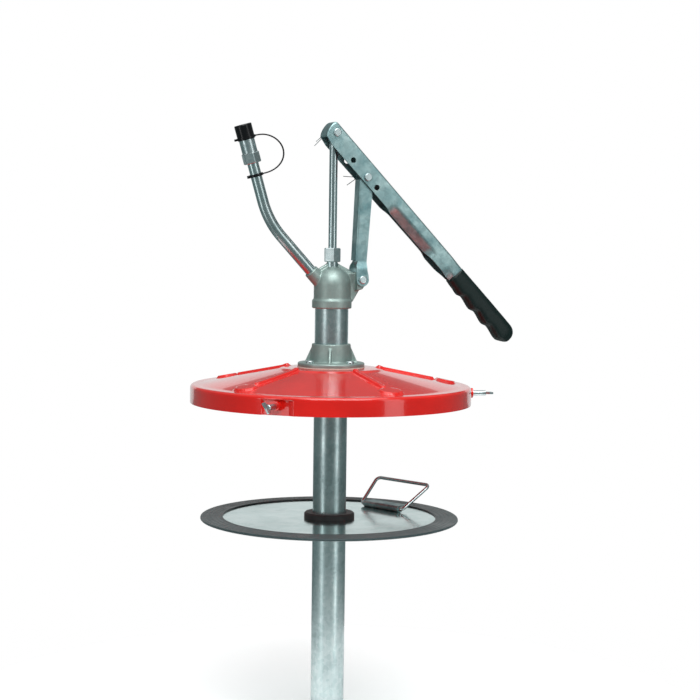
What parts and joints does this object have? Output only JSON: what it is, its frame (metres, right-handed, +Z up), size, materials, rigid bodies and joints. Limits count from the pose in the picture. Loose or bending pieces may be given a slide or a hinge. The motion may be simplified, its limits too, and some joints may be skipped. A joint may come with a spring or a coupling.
{
  "type": "hand lever pail pump",
  "caption": "Hand-lever pump on a pressed pail lid, with a bent delivery spout, capped outlet, and a sliding follower plate with a wire bail.",
  "frame": {"origin": "pump axis, at the underside of the lid's flat rim where it rests on the pail", "axes": "+Z up along the pump axis, +X towards the lever's grip, -X towards the spout"},
  "size_m": [0.3863, 0.3398, 0.6785],
  "materials": {
    "zinc_tube": "bright zinc plate with drawn streaks",
    "cast_alloy": "matt die-cast aluminium",
    "zinc_fitting": "bright zinc plate",
    "bright_steel": "polished drawn steel",
    "zinc_sheet": "mottled bright zinc on pressed sheet",
    "red_paint": "gloss enamel",
    "galvanised_plate": "smooth galvanised sheet",
    "grey_rubber": "matt moulded rubber",
    "black_rubber": "matt rubber",
    "grip_pvc": "dipped satin vinyl",
    "black_plastic": "glossy moulded plastic",
    "packing_fibre": "compressed fibre",
    "valve_steel": "turned steel"
  },
  "bodies": {
    "root": {"pump_tube": "zinc_tube", "pump_head": "cast_alloy", "gland_nut": "zinc_fitting", "rod_packing": "packing_fibre", "spout_tube": "zinc_tube", "outlet_coupler": "zinc_fitting", "spout_ring": "black_plastic", "cap_strap": "black_plastic", "tube_flange": "cast_alloy", "flange_gasket": "packing_fibre", "flange_screws": "zinc_fitting", "flange_nuts": "zinc_fitting", "lid": "red_paint", "lid_skirt": "red_paint", "clamp_nuts": "red_paint", "foot_body": "valve_steel", "ball_stop_pin": "valve_steel"},
    "plunger": {"piston_rod": "bright_steel", "piston_body": "valve_steel", "piston_cup": "black_rubber", "piston_spider": "valve_steel", "piston_nut": "valve_steel", "valve_stop_ring": "valve_steel"},
    "lever": {"lever_arm": "zinc_sheet", "handle_grip": "grip_pvc", "rod_pin": "zinc_fitting", "rod_cotter": "bright_steel", "link_pin": "zinc_fitting", "link_cotter": "bright_steel"},
    "link": {"link": "zinc_sheet", "pivot_pin": "zinc_fitting", "pivot_cotter": "bright_steel"},
    "follower": {"follower_plate": "galvanised_plate", "follower_seal": "grey_rubber", "follower_grommet": "black_rubber", "bail_bracket": "zinc_sheet", "bracket_rivets": "zinc_fitting"},
    "bail": {"bail": "bright_steel"},
    "cap": {"dust_cap": "black_plastic", "cap_ring": "black_plastic"},
    "foot_valve": {"foot_ball": "valve_steel"},
    "piston_valve": {"piston_valve_disc": "valve_steel"},
    "clamp_screw_1": {"clamp_screw_1": "zinc_fitting"},
    "clamp_screw_2": {"clamp_screw_2": "zinc_fitting"},
    "clamp_screw_3": {"clamp_screw_3": "zinc_fitting"}
  },
  "joints": [
    {"name": "rod_stroke", "type": "slide", "parent": "root", "child": "plunger", "axis": [0, 0, 1], "range_m": [-0.0376, 0]},
    {"name": "lever_swing", "type": "hinge", "parent": "plunger", "child": "lever", "pos_m": [0, 0, 0.286], "axis": [0, -1, 0], "range_deg": [0, 40]},
    {"name": "link_swing", "type": "hinge", "parent": "root", "child": "link", "pos_m": [0.0325, 0, 0.1208], "axis": [0, 1, 0], "range_deg": [0, 12.5]},
    {"name": "follower_slide", "type": "slide", "parent": "root", "child": "follower", "axis": [0, 0, 1], "range_m": [-0.19, 0.1]},
    {"name": "bail_swing", "type": "hinge", "parent": "follower", "child": "bail", "pos_m": [0.07856, 0.03498, -0.1471], "axis": [0.4067, -0.9135, 0], "range_deg": [-34, 135]},
    {"name": "cap_pull", "type": "slide", "parent": "root", "child": "cap", "axis": [-0.2779, 0, 0.9606], "range_m": [0, 0.018]},
    {"name": "foot_ball_lift", "type": "slide", "parent": "root", "child": "foot_valve", "axis": [0, 0, 1], "range_m": [0, 0.0055]},
    {"name": "piston_valve_lift", "type": "slide", "parent": "plunger", "child": "piston_valve", "axis": [0, 0, 1], "range_m": [0, 0.004]},
    {"name": "clamp_screw_1_feed", "type": "slide", "parent": "root", "child": "clamp_screw_1", "axis": [-0.9816, 0.1908, 0], "range_m": [-0.004, 0.008]},
    {"name": "clamp_screw_2_feed", "type": "slide", "parent": "root", "child": "clamp_screw_2", "axis": [0.3256, -0.9455, 0], "range_m": [-0.004, 0.008]},
    {"name": "clamp_screw_3_feed", "type": "slide", "parent": "root", "child": "clamp_screw_3", "axis": [0.6561, 0.7547, 0], "range_m": [-0.004, 0.008]}
  ],
  "couplings": [
    {"joint": "rod_stroke", "follows": "lever_swing", "m_per_rad": -0.053766},
    {"joint": "link_swing", "follows": "lever_swing", "ratio": 0.31047}
  ]
}
